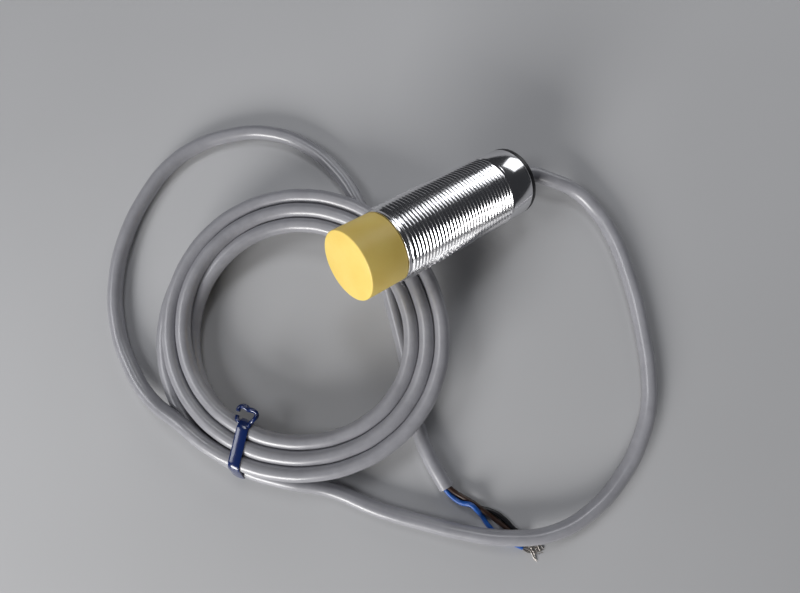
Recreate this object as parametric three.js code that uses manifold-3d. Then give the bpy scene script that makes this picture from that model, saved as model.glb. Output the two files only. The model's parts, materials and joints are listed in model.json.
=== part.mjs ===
// Cylindrical inductive proximity sensor, M18 x 1, with a non-flush sensing cap.
// It lies on a table with its front end on a loose coil of its own connection cable.
// Millimetres, +Z up. The sensor's axis lies in the XZ plane, sensing face towards +X.
import * as THREE from 'three';
import { mergeVertices } from 'three/addons/utils/BufferGeometryUtils.js';
import Module from 'manifold-3d';

const wasm = await Module();
wasm.setup();

// ---- Driving dimensions ----------------------------------------------------

// Space left between neighbouring pieces that touch on the real sensor.
const clearance = 0.3;

// Threaded metal barrel. Its wall is measured from the thread's crest.
const threadDiameter = 18;
const threadPitch = 1;
const threadDepth = 0.6;
const threadLength = 34;
const barrelWall = 1.2;
const frontLipLength = 0.9;
const frontLipStep = 0.3;
const plainLength = 7.4;
const plainStep = 0.2;
const edgeChamfer = 0.3;

// Plastic cap over the coil, pushed into the barrel's front.
const capStep = 0.6;
const capLength = 10.2;
const capWall = 1;
const capFrontWall = 1.2;
const spigotLength = 8;
const spigotWall = 1.3;

// Seal rings, both in grooves turned in the plastic.
const sealWidth = 0.8;
const sealThickness = 0.5;
const grooveSetback = 3;

// Sensing coil.
const coreLength = 4.2;
const coreBase = 1.4;
const coreHoleDiameter = 3.2;
const corePostDiameter = 6;
const coreRimWall = 1.2;
const bobbinLength = 2.2;
const bobbinWall = 0.4;
const carrierDisc = 1.6;
const carrierPegDiameter = 2.6;
const carrierPegLength = 3.5;
const carrierJawLength = 7.9;
const carrierJawInset = 1.5;
const carrierJawThickness = 1.3;
const leadDiameter = 0.5;

// Electronics.
const boardSideGap = 0.7;
const boardGrip = 2.5;
const boardThickness = 0.8;
const boardRear = 15;

// Rear plug, sleeve and cable clamp.
const plugLip = 1;
const plugLipStep = 0.3;
const plugDepth = 7.5;
const sleeveWall = 2.1;
const sleeveSeat = 3.4;
const sleeveLength = 4.3;
const clampLength = 2.2;
const clampWall = 0.7;
const resinLength = 3.6;
const resinClampGap = 0.5;
const innerJacketLength = 12;

// Connection cable.
const cableDiameter = 3.8;
const straightLength = 6;
const coreWireDiameter = 1.2;
const bareEndDiameter = 0.7;
const innerWireDiameter = 1;
const lieGap = 0.05;

// Coil of cable: three turns above and two below, bound by one tie.
const coilMeanRadius = 33.1;
const coilHalfWidth = 5;
const coilHeight = 7;
const coilCentre = new THREE.Vector2(42.3, -0.6);
const tieAngle = THREE.MathUtils.degToRad(28);
const tieWidth = 2.6;
const tieThickness = 0.7;
const tieKnotDiameter = 3.4;
const tableGap = 0.25;

// The cable's last stretch passes under the coil and lifts that side of it.
const chordDirection = new THREE.Vector3(0.364, 0.931, 0).normalize();
const chordDistance = 22.7;

// Facets round a full circle.
const turnedFacets = 24;
const coilFacets = 40;
const cableSides = 8;
const wireSides = 8;
const strandSides = 6;

// ---- Stations along the sensor, from the rear face -------------------------

const barrelRear = plugLip + clearance;
const threadRear = plugLip + plainLength;
const threadFront = threadRear + threadLength;
const sensingFace = threadFront + capLength;
const threadRadius = threadDiameter / 2;
const boreRadius = threadRadius - barrelWall;
const spigotRadius = boreRadius - clearance;
const spigotInner = spigotRadius - spigotWall;
const grooveRadius = spigotRadius - sealThickness - clearance;
const grooveWidth = sealWidth + 2 * clearance;
const capRadius = threadRadius - capStep;
const capInnerRadius = capRadius - capWall;
const coreFront = sensingFace - capFrontWall - clearance;
const coreRear = coreFront - coreLength;
const coreRadius = capInnerRadius - clearance;
const windowOuter = coreRadius - coreRimWall;
const windowFloor = coreRear + coreBase;
const cableRadius = cableDiameter / 2;
const cableHoleRadius = cableRadius + clearance;
const cableLie = cableRadius + lieGap;
const sleeveRadius = cableHoleRadius + sleeveWall;
const clampRadius = cableHoleRadius + clampWall;
const carrierFront = coreRear - clearance;
const carrierRear = carrierFront - carrierDisc;
const boardFront = carrierRear - carrierJawLength + boardGrip;
const boardLength = boardFront - boardRear;
const boardWidth = 2 * (spigotInner - boardSideGap);
const carrierJawWidth = boardWidth - 2 * carrierJawInset;

// ---- Solids ----------------------------------------------------------------

const materials = {
  chrome: [0xc8cace, 0.18, 1],
  capYellow: [0xe2c64a, 0.45, 0],
  blackPlastic: [0x17181a, 0.4, 0],
  ferrite: [0x33353a, 0.6, 0],
  natural: [0xd9d4c4, 0.5, 0],
  copper: [0xb5632f, 0.35, 1],
  board: [0x1f6b3a, 0.5, 0],
  chipBlack: [0x202225, 0.5, 0],
  ceramic: [0xb9a27c, 0.5, 0],
  resin: [0x5a4632, 0.35, 0],
  rubber: [0x1c1c1e, 0.8, 0],
  brass: [0xc39a4e, 0.35, 1],
  ledClear: [0xf2e6b0, 0.2, 0],
  cableGrey: [0x9d9fa6, 0.45, 0],
  wireBrown: [0x3f2a20, 0.45, 0],
  wireBlue: [0x2057a8, 0.45, 0],
  wireBlack: [0x15151a, 0.45, 0],
  tieBlue: [0x12204a, 0.3, 0],
};

// Merges shared corners, drops empty triangles and turns every face outwards.
function closed(source) {
  const bare = source.index ? source.toNonIndexed() : source.clone();
  bare.deleteAttribute('normal');
  bare.deleteAttribute('uv');
  const merged = mergeVertices(bare, 1e-4);
  const at = merged.attributes.position;
  const corners = [];
  let volume = 0;
  const p = new THREE.Vector3();
  const q = new THREE.Vector3();
  const r = new THREE.Vector3();
  for (let i = 0; i < merged.index.count; i += 3) {
    const a = merged.index.getX(i);
    const b = merged.index.getX(i + 1);
    const c = merged.index.getX(i + 2);
    if (a === b || b === c || c === a) continue;
    corners.push(a, b, c);
    p.fromBufferAttribute(at, a);
    q.fromBufferAttribute(at, b);
    r.fromBufferAttribute(at, c);
    volume += p.dot(q.cross(r));
  }
  if (volume < 0) corners.reverse();
  merged.setIndex(corners);
  return merged;
}

function toSolid(geometry) {
  const shape = closed(geometry);
  const vertProperties = new Float32Array(shape.attributes.position.array);
  const triVerts = new Uint32Array(shape.index.array);
  return new wasm.Manifold(new wasm.Mesh({ numProp: 3, vertProperties, triVerts }));
}

function fromSolid(solid) {
  const mesh = solid.getMesh();
  const geometry = new THREE.BufferGeometry();
  const points = new Float32Array(mesh.vertProperties);
  geometry.setAttribute('position', new THREE.BufferAttribute(points, 3));
  geometry.setIndex(Array.from(mesh.triVerts));
  return geometry;
}

function part(group, name, geometry, finish) {
  const [color, roughness, metalness] = materials[finish];
  const shape = closed(geometry);
  shape.computeVertexNormals();
  const mesh = new THREE.Mesh(shape, new THREE.MeshStandardMaterial({ color, roughness, metalness }));
  mesh.name = name;
  group.add(mesh);
  return mesh;
}

// A turned piece about the sensor's axis. Each point is [radius, station].
function turned(points, facets = turnedFacets) {
  const profile = points.map(([radius, station]) => new THREE.Vector2(radius, station));
  const onAxis = profile[0].x === 0 && profile[profile.length - 1].x === 0;
  if (!onAxis) profile.push(profile[0].clone());
  return new THREE.LatheGeometry(profile, facets).rotateZ(-Math.PI / 2);
}

function ring(inner, outer, from, to) {
  return turned([[inner, from], [outer, from], [outer, to], [inner, to]]);
}

function block(length, width, height, x, y, z) {
  return new THREE.BoxGeometry(length, width, height).translate(x, y, z);
}

// A round tube along hand-picked points.
function tube(points, diameter, sides, steps) {
  const section = new THREE.Shape();
  for (let i = 0; i < sides; i += 1) {
    const turn = (2 * Math.PI * i) / sides;
    const x = (Math.cos(turn) * diameter) / 2;
    const y = (Math.sin(turn) * diameter) / 2;
    if (i === 0) section.moveTo(x, y);
    else section.lineTo(x, y);
  }
  section.closePath();
  const extrudePath = new THREE.CatmullRomCurve3(points, false, 'centripetal');
  return new THREE.ExtrudeGeometry(section, { steps, extrudePath, bevelEnabled: false });
}

// ---- Sensor pieces ---------------------------------------------------------

function threadedBarrel() {
  const crest = threadRadius;
  const root = crest - threadDepth;
  const plain = threadRadius - plainStep;
  const lip = threadRadius - frontLipStep;
  const ridges = Math.floor((threadLength - frontLipLength) / threadPitch);
  const profile = [
    [boreRadius, barrelRear],
    [plain - edgeChamfer, barrelRear],
    [plain, barrelRear + edgeChamfer],
    [plain, threadRear],
  ];
  for (let i = 0; i < ridges; i += 1) {
    const start = threadRear + i * threadPitch;
    profile.push([root, start + threadPitch * 0.1]);
    profile.push([crest, start + threadPitch * 0.6]);
  }
  profile.push([root, threadRear + (ridges + 0.1) * threadPitch]);
  profile.push([lip, threadFront - frontLipLength + edgeChamfer]);
  profile.push([lip, threadFront]);
  profile.push([boreRadius, threadFront]);
  return turned(profile);
}

function sensingCap() {
  const shoulder = threadFront + clearance;
  const spigotRear = threadFront - spigotLength;
  const grooveRear = spigotRear + grooveSetback;
  return turned([
    [0, sensingFace - capFrontWall],
    [capInnerRadius, sensingFace - capFrontWall],
    [capInnerRadius, shoulder + spigotWall],
    [spigotInner, shoulder],
    [spigotInner, spigotRear],
    [spigotRadius, spigotRear],
    [spigotRadius, grooveRear],
    [grooveRadius, grooveRear],
    [grooveRadius, grooveRear + grooveWidth],
    [spigotRadius, grooveRear + grooveWidth],
    [spigotRadius, shoulder],
    [capRadius, shoulder],
    [capRadius, sensingFace - edgeChamfer],
    [capRadius - edgeChamfer, sensingFace],
    [0, sensingFace],
  ]);
}

function sealRing(grooveRear) {
  const from = grooveRear + clearance;
  return ring(grooveRadius + clearance, spigotRadius, from, from + sealWidth);
}

function rearPlug() {
  const lip = threadRadius - plugLipStep;
  const grooveRear = plugDepth - grooveSetback;
  const recess = sleeveRadius + clearance;
  return turned([
    [cableHoleRadius, 0],
    [lip - edgeChamfer, 0],
    [lip, edgeChamfer],
    [lip, plugLip],
    [spigotRadius, plugLip],
    [spigotRadius, grooveRear],
    [grooveRadius, grooveRear],
    [grooveRadius, grooveRear + grooveWidth],
    [spigotRadius, grooveRear + grooveWidth],
    [spigotRadius, plugDepth],
    [recess, plugDepth],
    [recess, sleeveSeat],
    [cableHoleRadius, sleeveSeat],
  ]);
}

function ferriteCore() {
  const hole = coreHoleDiameter / 2;
  const post = corePostDiameter / 2;
  return turned([
    [hole, coreRear],
    [coreRadius, coreRear],
    [coreRadius, coreFront],
    [windowOuter, coreFront],
    [windowOuter, windowFloor],
    [post, windowFloor],
    [post, coreFront],
    [hole, coreFront],
  ]);
}

function coilBobbin() {
  const inner = corePostDiameter / 2 + clearance;
  const flange = windowOuter - clearance;
  const rear = windowFloor + clearance;
  const front = rear + bobbinLength;
  return turned([
    [inner, rear],
    [flange, rear],
    [flange, rear + bobbinWall],
    [inner + bobbinWall, rear + bobbinWall],
    [inner + bobbinWall, front - bobbinWall],
    [flange, front - bobbinWall],
    [flange, front],
    [inner, front],
  ]);
}

function coilWinding() {
  const inner = corePostDiameter / 2 + bobbinWall + 2 * clearance;
  const rear = windowFloor + bobbinWall + 2 * clearance;
  const front = windowFloor + bobbinLength - bobbinWall;
  return ring(inner, windowOuter - clearance, rear, front);
}

// The disc behind the core, its centring peg, and two jaws that grip the board.
function coreCarrier() {
  const peg = carrierPegDiameter / 2;
  const disc = turned([
    [0, carrierRear],
    [coreRadius, carrierRear],
    [coreRadius, carrierFront],
    [peg, carrierFront],
    [peg, carrierFront + carrierPegLength],
    [0, carrierFront + carrierPegLength],
  ]);
  const jawHeight = boardThickness / 2 + clearance + carrierJawThickness / 2;
  const overlap = carrierDisc / 2;
  const jawLength = carrierJawLength + overlap;
  const jawCentre = carrierRear + overlap - jawLength / 2;
  let solid = toSolid(disc);
  for (const side of [-1, 1]) {
    const z = side * jawHeight;
    const jaw = block(jawLength, carrierJawWidth, carrierJawThickness, jawCentre, 0, z);
    solid = solid.add(toSolid(jaw));
  }
  return fromSolid(solid);
}

function addCoilLeads(group) {
  const y = carrierJawWidth / 2 + clearance + leadDiameter;
  const z = (boardThickness + leadDiameter) / 2 + clearance;
  const from = boardFront - 2;
  const to = carrierRear - clearance;
  for (const [name, side] of [['coil_lead_start', -1], ['coil_lead_end', 1]]) {
    const ends = [new THREE.Vector3(from, side * y, z), new THREE.Vector3(to, side * y, z)];
    part(group, name, tube(ends, leadDiameter, strandSides, 1), 'copper');
  }
}

// Chip-size parts on the board's top face: [name, length, width, height, place along it as
// a share of its length, place across it as a share of half its width, finish].
function addBoardParts(group) {
  const parts = [
    ['sensor_chip', 5, 5, 1.5, 0.64, 0, 'chipBlack'],
    ['output_transistor', 3, 4.4, 1.5, 0.3, 0.44, 'chipBlack'],
    ['protection_diode', 3.4, 1.8, 1.2, 0.3, -0.55, 'chipBlack'],
    ['filter_capacitor', 3.2, 1.6, 1.6, 0.46, -0.65, 'ceramic'],
    ['tuning_capacitor', 3.2, 1.6, 1.6, 0.82, -0.8, 'ceramic'],
    ['resistor_1', 2, 1.2, 0.6, 0.46, 0.07, 'chipBlack'],
    ['resistor_2', 2, 1.2, 0.6, 0.46, 0.55, 'chipBlack'],
    ['resistor_3', 2, 1.2, 0.6, 0.82, 0.84, 'chipBlack'],
    ['status_led', 1.6, 1.2, 0.8, 0.043, 0.84, 'ledClear'],
  ];
  for (const [name, length, width, height, along, across, finish] of parts) {
    const x = boardRear + along * boardLength;
    const y = (across * boardWidth) / 2;
    const z = (boardThickness + height) / 2 + clearance;
    part(group, name, block(length, width, height, x, y, z), finish);
  }
}

// Three wires fan out from the stripped jacket to the pads on the board.
function addInnerWires(group) {
  const wires = [['inner_wire_brown', -1, 'wireBrown'], ['inner_wire_blue', 0, 'wireBlue'],
    ['inner_wire_black', 1, 'wireBlack']];
  const padHeight = (boardThickness + innerWireDiameter) / 2 + clearance;
  const start = innerJacketLength + clearance;
  const halfBoard = boardWidth / 2;
  for (const [name, side, finish] of wires) {
    const points = [
      new THREE.Vector3(start, side * 1.4, padHeight * 0.7),
      new THREE.Vector3(start + 1.6, side * 0.35 * halfBoard, padHeight),
      new THREE.Vector3(boardRear + 4, side * 0.49 * halfBoard, padHeight),
    ];
    part(group, name, tube(points, innerWireDiameter, wireSides, 4), finish);
  }
}

function buildSensor() {
  const group = new THREE.Group();
  const sleeveRear = sleeveSeat + clearance;
  const clampRear = sleeveRear + sleeveLength + 2 * clearance;
  const resinRear = sleeveRear + sleeveLength + clearance;
  part(group, 'sensing_cap', sensingCap(), 'capYellow');
  part(group, 'threaded_barrel', threadedBarrel(), 'chrome');
  part(group, 'rear_plug', rearPlug(), 'blackPlastic');
  part(group, 'front_seal_ring', sealRing(threadFront - spigotLength + grooveSetback), 'rubber');
  part(group, 'rear_seal_ring', sealRing(plugDepth - grooveSetback), 'rubber');
  part(group, 'ferrite_core', ferriteCore(), 'ferrite');
  part(group, 'coil_bobbin', coilBobbin(), 'natural');
  part(group, 'coil_winding', coilWinding(), 'copper');
  part(group, 'core_carrier', coreCarrier(), 'natural');
  addCoilLeads(group);
  const board = block(boardLength, boardWidth, boardThickness, boardRear + boardLength / 2, 0, 0);
  part(group, 'circuit_board', board, 'board');
  addBoardParts(group);
  addInnerWires(group);
  const sleeve = ring(cableHoleRadius, sleeveRadius, sleeveRear, sleeveRear + sleeveLength);
  part(group, 'strain_relief_sleeve', sleeve, 'rubber');
  const clamp = ring(cableHoleRadius, clampRadius, clampRear, clampRear + clampLength);
  part(group, 'cable_clamp', clamp, 'brass');
  const resinHole = clampRadius + resinClampGap;
  const resin = ring(resinHole, spigotRadius, resinRear, resinRear + resinLength);
  part(group, 'potting_resin', resin, 'resin');
  const jacketEnds = [[0, 0], [cableRadius, 0], [cableRadius, innerJacketLength], [0, innerJacketLength]];
  part(group, 'inner_cable_jacket', turned(jacketEnds), 'cableGrey');
  return group;
}

// ---- Coil of cable and its tie ---------------------------------------------

// The outline of the bundle of turns, [offset from the mean radius, height].
function bundleOutline(grow) {
  const foot = coilHalfWidth - 0.5 + grow;
  const side = coilHalfWidth + grow;
  const shoulder = coilHalfWidth - 1.2 + grow;
  const crown = coilHalfWidth - 2 + grow;
  const top = coilHeight + grow;
  const half = [
    [foot, -grow],
    [side, 1 - grow],
    [side, coilHeight / 2],
    [shoulder, top - 0.7],
    [crown, top],
  ];
  const mirrored = half.map(([x, z]) => [-x, z]).reverse();
  return [...half, ...mirrored];
}

function cableCoil() {
  const profile = bundleOutline(0).map(([x, z]) => new THREE.Vector2(coilMeanRadius + x, z));
  profile.push(profile[0].clone());
  return new THREE.LatheGeometry(profile, coilFacets).rotateX(Math.PI / 2);
}

// A band round the bundle with a curled knot above its inner edge.
function cableTie() {
  const path = (points) => points.map(([x, z]) => new THREE.Vector2(x, z));
  const band = new THREE.Shape(path(bundleOutline(clearance + tieThickness)));
  band.holes.push(new THREE.Path(path(bundleOutline(clearance))));
  const bandBody = new THREE.ExtrudeGeometry(band, { depth: tieWidth, bevelEnabled: false });
  bandBody.translate(0, 0, -tieWidth / 2);
  const knot = new THREE.CylinderGeometry(tieKnotDiameter / 2, tieKnotDiameter / 2, tieWidth, 12);
  const knotHeight = coilHeight + clearance + tieKnotDiameter / 2;
  knot.rotateX(Math.PI / 2).translate(1.5 - coilHalfWidth, knotHeight, 0);
  const body = fromSolid(toSolid(bandBody).add(toSolid(knot)));
  body.rotateX(Math.PI / 2).translate(coilMeanRadius, 0, 0);
  return body.rotateZ(tieAngle);
}

// The coil leans: its far edge is on the table and it rides over the cable's last stretch.
function buildCoil() {
  const group = new THREE.Group();
  part(group, 'cable_coil', cableCoil(), 'cableGrey');
  part(group, 'cable_tie', cableTie(), 'tieBlue');
  const footRadius = coilMeanRadius + coilHalfWidth;
  const rise = cableDiameter + clearance - tableGap;
  const lean = Math.atan(rise / (footRadius + chordDistance - cableRadius));
  group.rotateOnAxis(chordDirection, lean);
  group.position.set(coilCentre.x, coilCentre.y, tableGap + footRadius * Math.sin(lean));
  return group;
}

// ---- Resting the sensor on the coil ----------------------------------------

// Turns the sensor up by a tilt, stands it on the table and centres it on X.
function placeSensor(sensor, tilt) {
  sensor.position.set(0, 0, 0);
  sensor.rotation.set(0, -tilt, 0);
  const box = new THREE.Box3().setFromObject(sensor, true);
  sensor.position.set(-(box.min.x + box.max.x) / 2, 0, -box.min.z);
  sensor.updateMatrixWorld(true);
}

// The smallest space between the barrel and the coil's rim.
function spaceOverCoil(sensor, coil) {
  const toSensor = sensor.matrixWorld.clone().invert();
  const at = coil.geometry.attributes.position;
  const point = new THREE.Vector3();
  let space = Infinity;
  for (let i = 0; i < at.count; i += 1) {
    point.fromBufferAttribute(at, i).applyMatrix4(coil.matrixWorld).applyMatrix4(toSensor);
    if (point.x < 0 || point.x > sensingFace) continue;
    space = Math.min(space, Math.hypot(point.y, point.z) - threadRadius);
  }
  return space;
}

function restSensorOnCoil(sensor, coil) {
  let low = THREE.MathUtils.degToRad(5);
  let high = THREE.MathUtils.degToRad(45);
  for (let round = 0; round < 20; round += 1) {
    const tilt = (low + high) / 2;
    placeSensor(sensor, tilt);
    if (spaceOverCoil(sensor, coil) < clearance) low = tilt;
    else high = tilt;
  }
  placeSensor(sensor, high);
  return high;
}

// ---- Free stretches of the cable -------------------------------------------

// From the sensor's rear hole round to the coil: [x, y, height above lying flat]. It falls
// to the table, and rises in one long hump over the stripped cores.
function cableRunPoints(sensor) {
  const exit = sensor.localToWorld(new THREE.Vector3(-clearance, 0, 0));
  const straight = sensor.localToWorld(new THREE.Vector3(-straightLength, 0, 0));
  const hump = coreWireDiameter + clearance + lieGap;
  const chosen = [
    [-34.6, 6.2, 2.3], [-37.9, 11.2, 0.9], [-39.3, 17.5, 0.05], [-38.9, 24.7, 0], [-34.8, 38.3, 0],
    [-28, 52.5, 0], [-24, 59.2, 0], [-18.6, 66, 0], [-11.7, 71.2, 0], [-4.8, 74.6, 0.1 * hump],
    [8.5, 77.4, 0.6 * hump], [19.5, 75.9, hump], [29, 70.6, 0.9 * hump], [38, 62.6, 0.3 * hump],
    [42.4, 57.8, 0.1 * hump], [50.6, 48, 0], [57.9, 37.1, 0],
  ];
  return [exit, straight, ...chosen.map(([x, y, lift]) => new THREE.Vector3(x, y, cableLie + lift))];
}

// From the coil round the outside, under the sensor and the coil, to the stripped end. It
// comes off the coil a little above the table.
function cableTailPoints() {
  const chosen = [
    [82.6, -7.2, 1.3], [82.9, -17.8, 0.3], [80.4, -28.8], [74.6, -39.4], [66.2, -48.2], [54.6, -55.4],
    [47.2, -58.1], [39.4, -58.8], [28.4, -56.1], [19.2, -50.2], [12.8, -40.6], [10.2, -29.2],
    [10.8, -18.9], [12.3, -11.8], [14.7, -3.8], [17.5, 4.1], [22.8, 18.2], [25.4, 24.4],
    [31.4, 37], [33.2, 44], [34.1, 53.1],
  ];
  return chosen.map(([x, y, lift = 0]) => new THREE.Vector3(x, y, cableLie + lift));
}

// The stripped cores, each with its bare end: [name, side, finish, points past the jacket].
function addStrippedEnd(group, jacketEnd) {
  const wireLie = coreWireDiameter / 2 + lieGap;
  const wires = [
    ['brown', 'wireBrown', [[-0.8, 1.1], [-2.4, 5.5], [-5.4, 11.5], [-8, 17.5], [-11, 22]],
      [[-11.3, 22.4], [-13, 24.6], [-14.5, 26.4]]],
    ['blue', 'wireBlue', [[0.5, 1.2], [-0.8, 6], [-3.6, 12], [-6.2, 18], [-9.2, 22.7]],
      [[-9.5, 23.1], [-10.8, 25.2], [-11.8, 27.4]]],
    ['black', 'wireBlack', [[1.9, 1.3], [0.8, 6.4], [-1.9, 12.4], [-4.4, 18.4], [-7, 23.3]],
      [[-7.3, 23.7], [-8.2, 25.8], [-8.6, 28.2]]],
  ];
  const lay = ([x, y], z) => new THREE.Vector3(jacketEnd.x + x, jacketEnd.y + y, z);
  for (const [name, finish, wire, bare] of wires) {
    const points = wire.map((step) => lay(step, wireLie));
    part(group, `core_${name}`, tube(points, coreWireDiameter, wireSides, 8), finish);
    const ends = bare.map((step) => lay(step, wireLie));
    part(group, `bare_end_${name}`, tube(ends, bareEndDiameter, strandSides, 3), 'copper');
  }
}

// ---- Assembly --------------------------------------------------------------

const assembly = new THREE.Group();
const sensor = buildSensor();
const coilGroup = buildCoil();
assembly.add(sensor, coilGroup);
assembly.updateMatrixWorld(true);
restSensorOnCoil(sensor, coilGroup.getObjectByName('cable_coil'));

part(assembly, 'cable_run', tube(cableRunPoints(sensor), cableDiameter, cableSides, 22), 'cableGrey');
const tailPoints = cableTailPoints();
part(assembly, 'cable_tail', tube(tailPoints, cableDiameter, cableSides, 28), 'cableGrey');
addStrippedEnd(assembly, tailPoints[tailPoints.length - 1]);

export default assembly;
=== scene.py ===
"""An M18 inductive proximity sensor, resting with its front end on a coil of its own cable.
Metres, +Z up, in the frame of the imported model."""
import json
import math
import random

import bmesh
import bpy
from mathutils import Matrix, Vector


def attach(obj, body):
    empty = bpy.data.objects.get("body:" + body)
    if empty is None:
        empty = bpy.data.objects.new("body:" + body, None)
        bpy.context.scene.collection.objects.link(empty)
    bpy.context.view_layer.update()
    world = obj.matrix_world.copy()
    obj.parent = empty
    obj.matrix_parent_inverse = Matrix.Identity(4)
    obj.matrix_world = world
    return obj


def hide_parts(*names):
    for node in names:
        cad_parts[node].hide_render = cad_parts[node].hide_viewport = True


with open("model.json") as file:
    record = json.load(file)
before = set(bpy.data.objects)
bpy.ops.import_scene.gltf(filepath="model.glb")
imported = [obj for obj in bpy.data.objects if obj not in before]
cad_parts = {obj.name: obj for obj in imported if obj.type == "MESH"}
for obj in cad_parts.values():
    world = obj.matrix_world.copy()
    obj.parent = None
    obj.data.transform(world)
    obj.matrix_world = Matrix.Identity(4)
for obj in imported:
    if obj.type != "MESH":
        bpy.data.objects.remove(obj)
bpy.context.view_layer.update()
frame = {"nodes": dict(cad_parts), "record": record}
nodes = frame["nodes"]
mounts = {mount["name"]: mount for mount in frame["record"]["mounts"]}

MM = 0.001
TURN = 2 * math.pi

# ---- Sizes, in millimetres ---------------------------------------------------

CLEARANCE = 0.3

THREAD_RADIUS = 9
THREAD_PITCH = 1
THREAD_DEPTH = 0.6
THREAD_LENGTH = 34
FRONT_LIP = 0.9
LIP_RADIUS = 8.7
PLAIN_RADIUS = 8.8
BORE_RADIUS = 7.8
PLUG_LIP = 1
PLAIN_LENGTH = 7.4
BARREL_REAR = PLUG_LIP + CLEARANCE
THREAD_REAR = PLUG_LIP + PLAIN_LENGTH
THREAD_FRONT = THREAD_REAR + THREAD_LENGTH

CAP_LENGTH = 10.2
OVERALL = THREAD_FRONT + CAP_LENGTH
CAP_RADIUS = 8.4
CAP_WALL = 1
CAP_FRONT_WALL = 1.2
SPIGOT_RADIUS = 7.5
SPIGOT_INNER = 6.2
SPIGOT_LENGTH = 8
SHOULDER_GAP = 0.1

GROOVE_DEPTH = 0.8
GROOVE_WIDTH = 1.4
GROOVE_SETBACK = 3
PLUG_DEPTH = 7.5
SLEEVE_SEAT = 3.4
SLEEVE_RECESS_RADIUS = 4.6

LIE_GAP = 0.05
CABLE_RADIUS = 1.9
CABLE_LIE = CABLE_RADIUS + LIE_GAP
CORE_RADIUS = 0.6
CORE_LIE = CORE_RADIUS + LIE_GAP
HUMP = 2 * CORE_RADIUS + CLEARANCE + LIE_GAP

COIL_CENTRE = Vector((42.3, -0.6, 0))
COIL_FOOT = 38.1
TABLE_GAP = 0.25
CHORD = Vector((0.364, 0.931, 0)).normalized()
CHORD_DISTANCE = 22.7


# ---- Shader expressions ------------------------------------------------------

class Val:
    """A number that changes over a surface. Arithmetic on it adds Math nodes."""

    def __init__(self, finish, socket):
        self.finish = finish
        self.socket = socket

    def math(self, operation, first, second):
        inputs = {0: first, 1: second}
        return self.finish.node("ShaderNodeMath", {"operation": operation}, inputs)

    def __add__(self, other):
        return self.math("ADD", self, other)

    def __radd__(self, other):
        return self.math("ADD", other, self)

    def __sub__(self, other):
        return self.math("SUBTRACT", self, other)

    def __rsub__(self, other):
        return self.math("SUBTRACT", other, self)

    def __mul__(self, other):
        return self.math("MULTIPLY", self, other)

    def __rmul__(self, other):
        return self.math("MULTIPLY", other, self)


class Finish:
    """A material: its shader, and the nodes that vary it over the surface."""

    def __init__(self, name, color, roughness, metallic=0, **constants):
        self.material = bpy.data.materials.new(name)
        self.material.use_nodes = True
        self.tree = self.material.node_tree
        self.shader = self.tree.nodes["Principled BSDF"]
        self.set("Base Color", (*color, 1))
        self.set("Roughness", roughness)
        self.set("Metallic", metallic)
        for socket, value in constants.items():
            self.set(socket.replace("_", " "), value)
        self.material.diffuse_color = (*color, 1)

    def set(self, socket, value):
        if isinstance(value, Val):
            self.tree.links.new(value.socket, self.shader.inputs[socket])
        else:
            self.shader.inputs[socket].default_value = value

    def node(self, kind, settings=None, inputs=None, output=0):
        node = self.tree.nodes.new(kind)
        for name, value in (settings or {}).items():
            setattr(node, name, value)
        for name, value in (inputs or {}).items():
            if isinstance(value, Val):
                self.tree.links.new(value.socket, node.inputs[name])
            else:
                node.inputs[name].default_value = value
        return Val(self, node.outputs[output])

    def place(self):
        """The point on the surface, in metres."""
        return self.node("ShaderNodeTexCoord", output="Object")

    def noise(self, scale, detail=3, roughness=0.5, where=None):
        inputs = {"Vector": where or self.place(), "Scale": scale, "Detail": detail,
                  "Roughness": roughness}
        return self.node("ShaderNodeTexNoise", None, inputs, "Fac")

    def range(self, value, low, high, to_low=0, to_high=1):
        inputs = {"Value": value, "From Min": low, "From Max": high, "To Min": to_low,
                  "To Max": to_high}
        return self.node("ShaderNodeMapRange", {"clamp": True}, inputs, "Result")

    def mix(self, amount, first, second):
        """Two colours, mixed by a number from 0 to 1."""
        inputs = {0: amount, 6: first if isinstance(first, Val) else (*first, 1),
                  7: second if isinstance(second, Val) else (*second, 1)}
        return self.node("ShaderNodeMix", {"data_type": "RGBA"}, inputs, 2)

    def turned_place(self, stretch):
        """The point in the sensor's own frame, squeezed along its axis or round it."""
        angle = math.asin(AXIS.z)
        turned = self.node("ShaderNodeVectorRotate", {"rotation_type": "Y_AXIS"},
                           {"Vector": self.place(), "Angle": angle})
        return self.node("ShaderNodeVectorMath", {"operation": "MULTIPLY"},
                         {0: turned, 1: stretch})

    def bump(self, height, strength, distance):
        inputs = {"Height": height, "Strength": strength, "Distance": distance}
        self.set("Normal", self.node("ShaderNodeBump", None, inputs))
        return self


# ---- Places on the sensor ----------------------------------------------------

AXIS = Vector(mounts["sensing_face"]["axis"]).normalized()
FACE = Vector(mounts["sensing_face"]["pos_m"])
SIDE = Vector((0, 1, 0))
UP = AXIS.cross(SIDE)
REAR = FACE - AXIS * OVERALL * MM
TURN_TO_SENSOR = Matrix((AXIS, SIDE, UP)).transposed().to_4x4()
SENSOR = Matrix.Translation(REAR) @ TURN_TO_SENSOR @ Matrix.Scale(MM, 4)


def station(along, across=0, above=0):
    """A point in the sensor's frame: millimetres from its rear face, sideways and up."""
    return SENSOR @ Vector((along, across, above))


# ---- Making pieces -----------------------------------------------------------

def link(name, data, finish, replaced):
    piece = bpy.data.objects.new(name, data)
    bpy.context.scene.collection.objects.link(piece)
    data.materials.append(finish.material)
    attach(piece, "root")
    if replaced:
        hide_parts(*replaced)
    return piece


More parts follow.
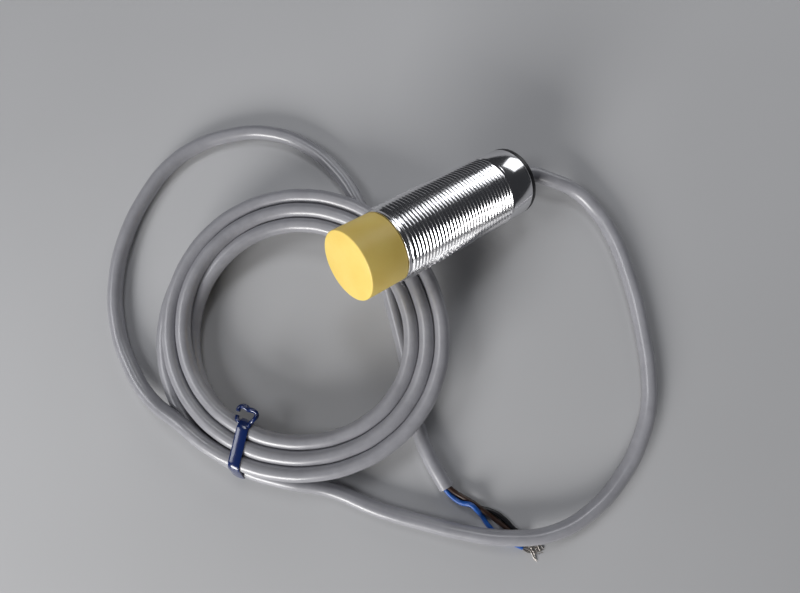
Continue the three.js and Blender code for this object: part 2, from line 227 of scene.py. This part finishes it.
def mesh_piece(name, bm, finish, slot, *replaced, crease=35):
    bmesh.ops.remove_doubles(bm, verts=bm.verts, dist=1e-8)
    bmesh.ops.dissolve_degenerate(bm, edges=bm.edges, dist=1e-8)
    bmesh.ops.recalc_face_normals(bm, faces=bm.faces)
    data = bpy.data.meshes.new(name)
    bm.to_mesh(data)
    bm.free()
    data.shade_smooth()
    data.set_sharp_from_angle(angle=math.radians(crease))
    return link(name, data, finish, replaced)


def add_grid(bm, rows, closed=True):
    """Faces between neighbouring rows of points, each row a closed ring or an open line."""
    rings = [[bm.verts.new(p) for p in row] for row in rows]
    for first, second in zip(rings, rings[1:]):
        count = len(first)
        for j in range(count if closed else count - 1):
            k = (j + 1) % count
            bm.faces.new((first[j], first[k], second[k], second[j]))
    return rings


def ring_of(along, radius, sides):
    """Points round the sensor's axis."""
    return [station(along, radius * math.cos(TURN * j / sides), radius * math.sin(TURN * j / sides))
            for j in range(sides)]


def fillet(corner, before, after, size, steps=4):
    """A rounded corner of a profile, from the side towards before to the side towards after."""
    corner = Vector(corner)
    start = corner + (Vector(before) - corner).normalized() * size
    end = corner + (Vector(after) - corner).normalized() * size
    points = []
    for i in range(steps + 1):
        t = i / steps
        points.append(tuple(start * (1 - t) ** 2 + corner * 2 * t * (1 - t) + end * t * t))
    return points


def rounded(profile, sizes):
    """A closed profile with the corners of the given sizes rounded."""
    points = []
    for i, corner in enumerate(profile):
        size = sizes.get(i, 0)
        if size:
            points += fillet(corner, profile[i - 1], profile[(i + 1) % len(profile)], size)
        else:
            points.append(corner)
    return points


def turn(bm, profile, sides=128, closed=True):
    """Turns a profile of (station, radius) points about the sensor's axis."""
    rows = [ring_of(along, max(radius, 0), sides) for along, radius in profile]
    if closed:
        rows.append(rows[0])
    add_grid(bm, rows)


def curve_piece(name, splines, radius, finish, slot, *replaced, resolution=6, smooth=8):
    """A round cord, wire or bundle of wires. Each spline is a list of points in metres."""
    data = bpy.data.curves.new(name, "CURVE")
    data.dimensions = "3D"
    data.bevel_depth = radius * MM
    data.bevel_resolution = resolution
    data.resolution_u = smooth
    data.use_fill_caps = True
    for points in splines:
        spline = data.splines.new("BEZIER")
        spline.bezier_points.add(len(points) - 1)
        for knot, point in zip(spline.bezier_points, points):
            knot.co = point
            knot.handle_left_type = "AUTO"
            knot.handle_right_type = "AUTO"
    return link(name, data, finish, replaced)


# ---- Camera ------------------------------------------------------------------

CAMERA_PLACE = (0.029088, 0.032457, 0.160267)
CAMERA_RIGHT = (-0.81821, 0.57444, -0.02340)
CAMERA_UP = (-0.56919, -0.80366, 0.17366)


def add_camera():
    data = bpy.data.cameras.new("camera")
    data.sensor_width = 36
    data.lens = 27.9
    data.clip_start = 0.005
    camera = bpy.data.objects.new("camera", data)
    bpy.context.scene.collection.objects.link(camera)
    right = Vector(CAMERA_RIGHT)
    up = Vector(CAMERA_UP)
    facing = Matrix((right, up, right.cross(up))).transposed().to_4x4()
    camera.matrix_world = Matrix.Translation(CAMERA_PLACE) @ facing
    bpy.context.scene.camera = camera


# ---- The cable's route -------------------------------------------------------

def degrees_apart(angle, other):
    return (angle - other + 180) % 360 - 180


def bump_at(angle, centre, width):
    """1 at the centre angle, falling smoothly to 0 past the width. Degrees."""
    return math.exp(-((degrees_apart(angle, centre) / width) ** 2))


# Degrees round the coil where the cable joins it and leaves it, and the winding between.
COIL_START = 67.5
COIL_END = -9.3
TURNS = 5
COIL_TRAVEL = TURNS * 360 + COIL_START - COIL_END

# How much winding is left where the cable climbs from the lower layer to the upper one.
TOP_LAYER = 1000
LOW_LAYER = 1075
LAYER_RISE = 3.3

# The outermost upper strand and the innermost lower one, and how the turns step inwards.
TOP_RADIUS = 34.7
TOP_STEP = 3.5
TOP_LATE_STEP = 0.3
LOW_RADIUS = 28.2
LOW_STEP = 3.8

# The winding is divided into sections this many degrees apart.
STEP = 15


def strand_target(back):
    """Where the cable wants to lie, as (angle, radius, height) over the coil's plane.
    back is how many degrees of winding are left before it leaves the coil."""
    angle = COIL_END + back
    wound = COIL_TRAVEL - back
    top_radius = TOP_RADIUS - TOP_STEP * min(back, 720) / 360
    top_radius -= TOP_LATE_STEP * max(back - 720, 0) / 360
    low_radius = LOW_RADIUS + LOW_STEP * (back - 1080) / 360
    # One strand bows out beside the tie, and the lower layer tucks in across from it.
    top_radius += 0.9 * math.exp(-(((back - 258) / 60) ** 2))
    low_radius -= 1.6 * bump_at(angle, 280, 60)
    climb = min(max((back - TOP_LAYER) / (LOW_LAYER - TOP_LAYER), 0), 1)
    climb = climb * climb * (3 - 2 * climb)
    radius = top_radius * (1 - climb) + low_radius * climb
    height = CABLE_RADIUS + LAYER_RISE * (1 - climb)
    # The turns aren't quite round: they bulge on one side.
    radius += 4.1 * bump_at(angle, 117, 48)
    # Both ends of the winding swing outwards and sink to the table.
    radius += 6.1 * math.exp(-back / 12) + 4 * math.exp(-wound / 8.7)
    height -= 1.6 * math.exp(-back / 16) + 2.2 * math.exp(-wound / 16)
    return angle, radius, height


def settled_strands():
    """Lets the turns push each other apart until none lies in another, in each section."""
    backs = [STEP * i for i in range(1, int(COIL_TRAVEL // STEP))]
    targets = [strand_target(back) for back in backs]
    strands = [[radius, height] for _, radius, height in targets]
    per_turn = 360 // STEP
    apart = 2 * CABLE_RADIUS - 0.05
    pull = 0.12
    for _ in range(60):
        for strand, (_, radius, height) in zip(strands, targets):
            strand[0] += pull * (radius - strand[0])
            strand[1] += pull * (height - strand[1])
        for _ in range(4):
            for i in range(len(strands)):
                for j in range(i + per_turn, len(strands), per_turn):
                    across = strands[j][0] - strands[i][0]
                    above = strands[j][1] - strands[i][1]
                    space = math.hypot(across, above)
                    if space >= apart:
                        continue
                    push = (apart - space) / 2 / max(space, 0.01)
                    strands[i][0] -= across * push
                    strands[i][1] -= above * push
                    strands[j][0] += across * push
                    strands[j][1] += above * push
    for _ in range(2):
        inner = [[(a[k] + 2 * b[k] + c[k]) / 4 for k in range(2)]
                 for a, b, c in zip(strands, strands[1:], strands[2:])]
        strands[1:-1] = inner
    return [(angle, *strand) for (angle, _, _), strand in zip(targets, strands)]


def coil_frame():
    """The coil's plane: it leans on the stretch of cable that passes under it."""
    rise = 2 * CABLE_RADIUS + CLEARANCE - TABLE_GAP
    lean = math.atan(rise / (COIL_FOOT + CHORD_DISTANCE - CABLE_RADIUS))
    centre = COIL_CENTRE + Vector((0, 0, TABLE_GAP + COIL_FOOT * math.sin(lean)))
    return Matrix.Translation(centre) @ Matrix.Rotation(lean, 4, CHORD)


COIL = coil_frame()


def on_coil(angle, radius, height):
    turned = math.radians(angle)
    return COIL @ Vector((radius * math.cos(turned), radius * math.sin(turned), height))


RUN = [
    (-34.6, 6.2, 2.3), (-37.9, 11.2, 0.9), (-39.3, 17.5, 0.05), (-38.9, 24.7, 0), (-34.8, 38.3, 0),
    (-28, 52.5, 0), (-24, 59.2, 0), (-18.6, 66, 0), (-11.7, 71.2, 0), (-4.8, 74.6, 0.1 * HUMP),
    (8.5, 77.4, 0.6 * HUMP), (19.5, 75.9, HUMP), (29, 70.6, 0.9 * HUMP), (38, 62.6, 0.3 * HUMP),
    (42.4, 57.8, 0.1 * HUMP), (50.6, 48, 0), (57.9, 37.1, 0),
]
TAIL = [
    (82.6, -7.2, 1.3), (82.9, -17.8, 0.3), (80.4, -28.8, 0), (74.6, -39.4, 0), (66.2, -48.2, 0),
    (54.6, -55.4, 0), (47.2, -58.1, 0), (39.4, -58.8, 0), (28.4, -56.1, 0), (19.2, -50.2, 0),
    (12.8, -40.6, 0), (10.2, -29.2, 0), (10.8, -18.9, 0), (12.3, -11.8, 0), (14.7, -3.8, 0),
    (17.5, 4.1, 0), (22.8, 18.2, 0), (25.4, 24.4, 0), (31.4, 37, 0), (33.2, 44, 0), (34.1, 53.1, 0),
]
strands = settled_strands()


def cable_route():
    run = [Vector((x, y, CABLE_LIE + lift)) * MM for x, y, lift in RUN]
    wound = [on_coil(*strand) * MM for strand in reversed(strands)]
    tail = [Vector((x, y, CABLE_LIE + lift)) * MM for x, y, lift in TAIL]
    return [station(0), station(-6)] + run + wound + tail


# ---- Finishes ----------------------------------------------------------------

def cable_jacket():
    finish = Finish("grey_pvc_jacket", (0.36, 0.36, 0.39), 0.38, Coat_Weight=0.7,
                    Coat_Roughness=0.22)
    cloud = finish.noise(90, 4)
    smudge = finish.noise(420, 5, 0.65)
    shade = finish.range(cloud * 0.6 + smudge * 0.4, 0.35, 0.65)
    finish.set("Base Color", finish.mix(shade, (0.27, 0.27, 0.295), (0.34, 0.34, 0.37)))
    finish.set("Roughness", finish.range(smudge, 0.3, 0.7, 0.32, 0.46))
    return finish.bump(finish.noise(2600, 2) + cloud * 0.6, 0.12, 0.00015)


def plated_metal():
    finish = Finish("bright_nickel_plate", (0.80, 0.80, 0.82), 0.16, 1)
    tooling = finish.noise(1, 3, 0.6, finish.turned_place((9000, 260, 260)))
    haze = finish.noise(240, 4, 0.6)
    finish.set("Roughness", finish.range(haze, 0.3, 0.75, 0.11, 0.16) + tooling * 0.03)
    grime = finish.range(haze, 0.55, 0.8)
    finish.set("Base Color", finish.mix(grime, (0.80, 0.80, 0.82), (0.72, 0.71, 0.72)))
    return finish.bump(tooling, 0.05, 0.00003)


def cap_plastic():
    finish = Finish("sensing_face_yellow", (0.80, 0.60, 0.12), 0.42, Subsurface_Weight=0.08,
                    Subsurface_Radius=(0.002, 0.0014, 0.0004))
    cloud = finish.noise(160, 4)
    grain = finish.noise(2400, 2)
    color = finish.mix(finish.range(cloud, 0.35, 0.7), (0.90, 0.68, 0.19), (0.86, 0.62, 0.15))
    finish.set("Base Color", color)
    finish.set("Roughness", finish.range(grain, 0.3, 0.7, 0.36, 0.5))
    return finish.bump(grain, 0.12, 0.00004)


def plain_finish(name, color, roughness, metallic=0, grain=1200, depth=0.00005, spread=0.2,
                 **constants):
    """A moulded, drawn or cast surface: fine grain, and slightly uneven colour."""
    finish = Finish(name, color, roughness, metallic, **constants)
    cloud = finish.noise(grain * 0.12, 4)
    fine = finish.noise(grain, 3)
    darker = tuple(c * (1 - spread) for c in color)
    finish.set("Base Color", finish.mix(finish.range(cloud, 0.35, 0.7), color, darker))
    finish.set("Roughness", finish.range(fine, 0.3, 0.7, roughness * 0.85, min(roughness * 1.2, 1)))
    return finish.bump(fine, 0.2, depth)


jacket = cable_jacket()
plate = plated_metal()
yellow = cap_plastic()
black = plain_finish("black_moulding", (0.012, 0.012, 0.014), 0.38)
rubber = plain_finish("dull_rubber", (0.02, 0.02, 0.022), 0.75)
ferrite = plain_finish("ground_ferrite", (0.035, 0.037, 0.04), 0.6, grain=3000)
natural = plain_finish("natural_moulding", (0.68, 0.63, 0.52), 0.45)
copper = plain_finish("enamelled_copper", (0.62, 0.22, 0.09), 0.3, 1, grain=5000)
tinned = plain_finish("tinned_copper", (0.62, 0.58, 0.54), 0.32, 1, grain=4000)
board = plain_finish("solder_mask", (0.012, 0.12, 0.045), 0.35, Coat_Weight=0.4)
chip = plain_finish("moulded_epoxy", (0.016, 0.016, 0.018), 0.55, grain=5000)
ceramic = plain_finish("fired_ceramic", (0.42, 0.29, 0.15), 0.5, grain=3000)
led = plain_finish("clear_epoxy", (0.85, 0.75, 0.42), 0.12, Coat_Weight=0.5)
resin = plain_finish("cast_resin", (0.10, 0.06, 0.035), 0.25, Coat_Weight=0.5)
brass = plain_finish("pressed_brass", (0.70, 0.46, 0.16), 0.3, 1)
brown = plain_finish("brown_core", (0.045, 0.022, 0.014), 0.35, grain=2500)
blue = plain_finish("blue_core", (0.015, 0.10, 0.42), 0.32, grain=2500)
dark = plain_finish("black_core", (0.01, 0.01, 0.012), 0.32, grain=2500)
tie_finish = plain_finish("tie_plastic", (0.006, 0.022, 0.12), 0.22, Coat_Weight=0.6,
                          Coat_Roughness=0.08)


# ---- Sensor ------------------------------------------------------------------

def thread_height(turns):
    """The thread's form at a point, from 0 at its root to 1 at its crest."""
    apart = abs((turns % 1) - 0.5) * 2
    return min(max((0.93 - apart) / 0.8, 0), 1)


def add_thread(bm, sides):
    """A helical thread whose edges follow the helix, trimmed to its two ends."""
    form = (0.035, 0.12, 0.28, 0.435, 0.565, 0.72, 0.88, 0.965)
    run_out = 0.45
    root = THREAD_RADIUS - THREAD_DEPTH
    front = THREAD_FRONT - FRONT_LIP
    pitches = int((front - THREAD_REAR) / THREAD_PITCH) + 2
    rows = []
    for pitch in range(-1, pitches):
        for place in form:
            rows.append([])
            for j in range(sides + 1):
                turns = pitch + place + j / sides
                along = min(max(THREAD_REAR + turns * THREAD_PITCH, THREAD_REAR), front)
                near_end = min(along - THREAD_REAR, front - along)
                fade = min(near_end / run_out, 1)
                height = THREAD_DEPTH * thread_height(place) * fade
                spin = TURN * j / sides
                radius = root + height
                rows[-1].append(station(along, radius * math.cos(spin), radius * math.sin(spin)))
    add_grid(bm, rows, closed=False)


def threaded_barrel():
    sides = 144
    bm = bmesh.new()
    add_thread(bm, sides)
    root = THREAD_RADIUS - THREAD_DEPTH
    front = THREAD_FRONT - FRONT_LIP
    lip_rear = front + 0.12
    behind = [(THREAD_REAR, root), (THREAD_REAR - 0.35, PLAIN_RADIUS - 0.08),
              (THREAD_REAR - 0.45, PLAIN_RADIUS)]
    rear_edge = fillet((BARREL_REAR, PLAIN_RADIUS), (BARREL_REAR + 1, PLAIN_RADIUS),
                       (BARREL_REAR, PLAIN_RADIUS - 1), 0.3)
    front_edge = fillet((THREAD_FRONT, LIP_RADIUS), (THREAD_FRONT - 1, LIP_RADIUS),
                        (THREAD_FRONT, LIP_RADIUS - 1), 0.2)
    outside = [(front, root), (lip_rear, LIP_RADIUS - 0.06), (lip_rear + 0.08, LIP_RADIUS)]
    bore = [(THREAD_FRONT, BORE_RADIUS + 0.15), (THREAD_FRONT - 0.15, BORE_RADIUS),
            (BARREL_REAR + 0.15, BORE_RADIUS), (BARREL_REAR, BORE_RADIUS + 0.15)]
    turn(bm, outside + front_edge + bore + rear_edge[::-1] + behind[::-1], sides, closed=False)
    return mesh_piece("barrel", bm, plate, "chrome", "threaded_barrel", crease=50)


def seal_groove(along):
    """The corners of a seal ring's groove, from its rear edge."""
    bottom = SPIGOT_RADIUS - GROOVE_DEPTH
    front = along + GROOVE_WIDTH
    return [(along, SPIGOT_RADIUS), (along, bottom), (front, bottom), (front, SPIGOT_RADIUS)]


def sensing_cap():
    shoulder = THREAD_FRONT + SHOULDER_GAP
    spigot = THREAD_FRONT - SPIGOT_LENGTH
    spigot_wall = SPIGOT_RADIUS - SPIGOT_INNER
    inner = CAP_RADIUS - CAP_WALL
    window = OVERALL - CAP_FRONT_WALL
    profile = [(shoulder, SPIGOT_RADIUS), (shoulder, CAP_RADIUS), (OVERALL, CAP_RADIUS),
               (OVERALL, 0), (window, 0), (window, inner), (shoulder + spigot_wall, inner),
               (shoulder, SPIGOT_INNER), (spigot, SPIGOT_INNER), (spigot, SPIGOT_RADIUS)]
    profile += seal_groove(spigot + GROOVE_SETBACK)
    bm = bmesh.new()
    turn(bm, rounded(profile, {1: 0.12, 2: 0.35, 9: 0.3}), 160)
    return mesh_piece("cap", bm, yellow, "sensing_yellow", "sensing_cap")


def rear_plug():
    """The plug, with a shallow dish in its rear face round the cable."""
    hole = CABLE_RADIUS + 0.12
    lip_front = PLUG_LIP + 0.15
    profile = [(0, hole), (0, LIP_RADIUS), (lip_front, LIP_RADIUS), (lip_front, SPIGOT_RADIUS)]
    profile += seal_groove(PLUG_DEPTH - GROOVE_SETBACK)
    profile += [(PLUG_DEPTH, SPIGOT_RADIUS), (PLUG_DEPTH, SLEEVE_RECESS_RADIUS),
                (SLEEVE_SEAT, SLEEVE_RECESS_RADIUS), (SLEEVE_SEAT, hole)]
    profile = rounded(profile, {0: 0.25, 1: 0.35, 2: 0.1})
    dish = [(0, 3.1), (0.25, 3.4), (0.25, 7.2), (0, 7.5)]
    first = next(i for i, (along, radius) in enumerate(profile) if along == 0 and radius > hole)
    profile[first + 1:first + 1] = dish
    bm = bmesh.new()
    turn(bm, profile, 128)
    return mesh_piece("plug", bm, black, "black_plastic", "rear_plug")


# ---- Cable tie ---------------------------------------------------------------

TIE_ANGLE = 32.3
TIE_HALF_WIDTH = 1.5
TIE_SLANT = 0.33
TIE_PIVOT = 32
TIE_GAP = 0.06


def tie_outline(angle, gap):
    """The rounded line that hugs the strands in one section, as (radius, height) points."""
    near = [s for s in strands if abs(degrees_apart(s[0], angle)) < STEP / 2 + 0.01]
    reach = CABLE_RADIUS + gap
    sides = 96
    points = []
    for k in range(sides):
        out = math.cos(TURN * k / sides)
        up = math.sin(TURN * k / sides)
        _, radius, height = max(near, key=lambda s: s[1] * out + s[2] * up)
        points.append((radius + reach * out, height + reach * up))
    return points


def cable_tie():
    """A flat plastic band, slightly crowned, wrapped aslant round the bundle."""
    section = [(-1, 0.02), (-1, 0.3), (-0.8, 0.42), (-0.4, 0.5), (0, 0.53), (0.4, 0.5), (0.8, 0.42),
               (1, 0.3), (1, 0.02)]
    bm = bmesh.new()
    rows = []
    for across, gap in section:
        outline = tie_outline(TIE_ANGLE, gap + TIE_GAP)
        shift = across * TIE_HALF_WIDTH
        rows.append([])
        for radius, height in outline:
            aside = math.degrees(shift / radius) + TIE_SLANT * (radius - TIE_PIVOT)
            rows[-1].append(on_coil(TIE_ANGLE + aside, radius, height) * MM)
    rows.append(rows[0])
    add_grid(bm, rows)
    return mesh_piece("tie_band", bm, tie_finish, "tie_blue", "cable_tie")


def tie_knot():
    """The band's two ends, twisted together and curled inside the coil."""
    steps = 45
    curl_centre = 24.6
    strand_offset = 0.42
    twists = 3.2
    splines = []
    for sign, outwards in ((1, 0), (-1, 0.25)):
        points = []
        for i in range(steps + 1):
            t = i / steps
            spin = math.radians(-75 + 330 * t)
            reach = 1.9 + 0.5 * t
            twist = TURN * twists * t
            side = strand_offset * math.cos(twist)
            radius = curl_centre + (1.15 * reach + side) * math.cos(spin)
            across = (reach + side) * math.sin(spin)
            height = 6.2 + 0.9 * t + sign * strand_offset * math.sin(twist)
            angle = TIE_ANGLE - 3 + math.degrees(across / radius)
            points.append(on_coil(angle, radius + outwards, height) * MM)
        splines.append(points)
    return curve_piece("tie_knot", splines, 0.5, tie_finish, "tie_blue", "cable_tie", smooth=4)


# ---- Stripped end ------------------------------------------------------------

CORES = {
    "black": (dark, "core_black", [
        (34.0, 53.2, 1.3), (33.7, 55.0, 0.8), (32.9, 57.6, CORE_LIE), (31.6, 60.4, CORE_LIE),
        (29.6, 62.6, CORE_LIE), (27.8, 65.0, CORE_LIE), (26.9, 67.6, CORE_LIE),
        (26.3, 70.9, CORE_LIE), (25.0, 73.6, CORE_LIE)]),
    "brown": (brown, "core_brown", [
        (33.6, 53.2, 2.6), (33.0, 55.2, 2.0), (31.9, 57.6, 1.9), (30.7, 60.2, 1.9),
        (29.9, 62.8, 1.7), (29.1, 65.3, 0.8), (28.2, 68.0, CORE_LIE), (27.2, 71.2, CORE_LIE),
        (25.9, 74.6, CORE_LIE)]),
    "blue": (blue, "core_blue", [
        (34.6, 53.2, 1.8), (34.4, 55.2, 1.5), (33.3, 58.0, 1.9), (31.6, 59.6, 3.1),
        (31.2, 61.4, 2.7), (31.0, 63.6, 0.9), (31.0, 66.6, CORE_LIE), (30.0, 70.6, CORE_LIE),
        (27.2, 75.2, CORE_LIE)]),
}


STRANDS = 7
STRAND_RADIUS = 0.1
STRAND_SPACING = 0.11


def stripped_end():
    """The three cores, each ending in a frayed fan of bare strands."""
    pieces = []
    draw = random.Random(7)
    for name, (finish, slot, points) in CORES.items():
        route = [Vector(p) * MM for p in points]
        pieces.append(curve_piece(f"{name}_wire", [route], CORE_RADIUS, finish, slot,
                                  f"core_{name}", smooth=6))
        tip = route[-1]
        forward = (route[-1] - route[-2]).normalized()
        fan = []
        aside = Vector((-forward.y, forward.x, 0))
        for k in range(STRANDS):
            sway = draw.uniform(-0.5, 0.5)
            reach = draw.uniform(3.2, 5.6) * MM
            turned = Matrix.Rotation(sway, 3, "Z") @ forward
            side = aside * (k - (STRANDS - 1) / 2) * STRAND_SPACING * MM
            start = tip - forward * 0.4 * MM + side
            middle = tip + forward * reach * 0.4 + side * 1.6
            end = tip + turned * reach
            middle.z = 0.35 * MM
            end.z = draw.uniform(0.12, 0.5) * MM
            fan.append([start, middle, end])
        pieces.append(curve_piece(f"{name}_strands", fan, STRAND_RADIUS, tinned, "copper",
                                  f"bare_end_{name}", resolution=2, smooth=6))
    return pieces


# ---- Put together ------------------------------------------------------------

add_camera()
cable = curve_piece("cable", [cable_route()], CABLE_RADIUS, jacket, "cable_grey", "cable_run",
                    "cable_coil", "cable_tail", resolution=7, smooth=8)
band = cable_tie()
knot = tie_knot()
wires = stripped_end()
threaded_barrel()
sensing_cap()
rear_plug()

NODE_FINISHES = {
    rubber: ("front_seal_ring", "rear_seal_ring", "strain_relief_sleeve"),
    ferrite: ("ferrite_core",),
    natural: ("coil_bobbin", "core_carrier"),
    copper: ("coil_winding", "coil_lead_start", "coil_lead_end"),
    board: ("circuit_board",),
    chip: ("sensor_chip", "output_transistor", "protection_diode", "resistor_1", "resistor_2",
           "resistor_3"),
    ceramic: ("filter_capacitor", "tuning_capacitor"),
    led: ("status_led",),
    resin: ("potting_resin",),
    brass: ("cable_clamp",),
    brown: ("inner_wire_brown",),
    blue: ("inner_wire_blue",),
    dark: ("inner_wire_black",),
    jacket: ("inner_cable_jacket",),
}
for finish, names in NODE_FINISHES.items():
    for name in names:
        materials = nodes[name].data.materials
        materials.clear()
        materials.append(finish.material)


# ---- Table and light ---------------------------------------------------------

def table_top():
    """A pale table top, faintly uneven in colour."""
    bm = bmesh.new()
    reach = 0.7
    lines = 15
    rows = []
    for i in range(lines):
        y = reach * (2 * i / (lines - 1) - 1)
        rows.append([Vector((reach * (2 * j / (lines - 1) - 1), y, 0)) for j in range(lines)])
    add_grid(bm, rows, closed=False)
    data = bpy.data.meshes.new("table_top")
    bm.to_mesh(data)
    bm.free()
    table = bpy.data.objects.new("table_top", data)
    bpy.context.scene.collection.objects.link(table)
    finish = Finish("pale_laminate", (0.50, 0.505, 0.52), 0.5)
    cloud = finish.noise(9, 3)
    finish.set("Base Color", finish.mix(finish.range(cloud, 0.3, 0.7), (0.485, 0.488, 0.50),
                                        (0.515, 0.518, 0.532)))
    finish.bump(finish.noise(1500, 2), 0.05, 0.00003)
    data.materials.append(finish.material)


def area_light(name, place, aim, size, power, color):
    data = bpy.data.lights.new(name, "AREA")
    data.shape = "RECTANGLE"
    data.size, data.size_y = size
    data.energy = power
    data.color = color
    light = bpy.data.objects.new(name, data)
    bpy.context.scene.collection.objects.link(light)
    look = Vector(aim) - Vector(place)
    facing = look.to_track_quat("-Z", "Y").to_matrix().to_4x4()
    light.matrix_world = Matrix.Translation(place) @ facing


WARM = (1.0, 0.99, 0.97)
COOL = (0.97, 0.98, 1.0)
COLD = (0.96, 0.97, 1.0)

table_top()
# The window lights the cap's face. The far one draws the bright line along the thread, and
# the one at the side shows in the plain band at the barrel's rear.
area_light("window", (0.70, 0.30, 0.29), (0.02, 0, 0), (0.42, 0.30), 6.4, WARM)
area_light("far_window", (-0.22, -0.34, 0.75), (0.02, 0, 0.02), (0.22, 0.26), 1.0, COLD)
area_light("ceiling", (0.50, -0.30, 0.60), (0.05, 0, 0), (0.30, 0.30), 1.5, COOL)
area_light("side_window", (-0.62, -0.25, 0.30), (-0.02, 0, 0.01), (0.40, 0.46), 1.1, COOL)
world = bpy.data.worlds.new("room")
world.use_nodes = True
world.node_tree.nodes["Background"].inputs["Color"].default_value = (0.62, 0.64, 0.70, 1)
world.node_tree.nodes["Background"].inputs["Strength"].default_value = 0.05
bpy.context.scene.world = world
bpy.context.scene.view_settings.view_transform = "Standard"
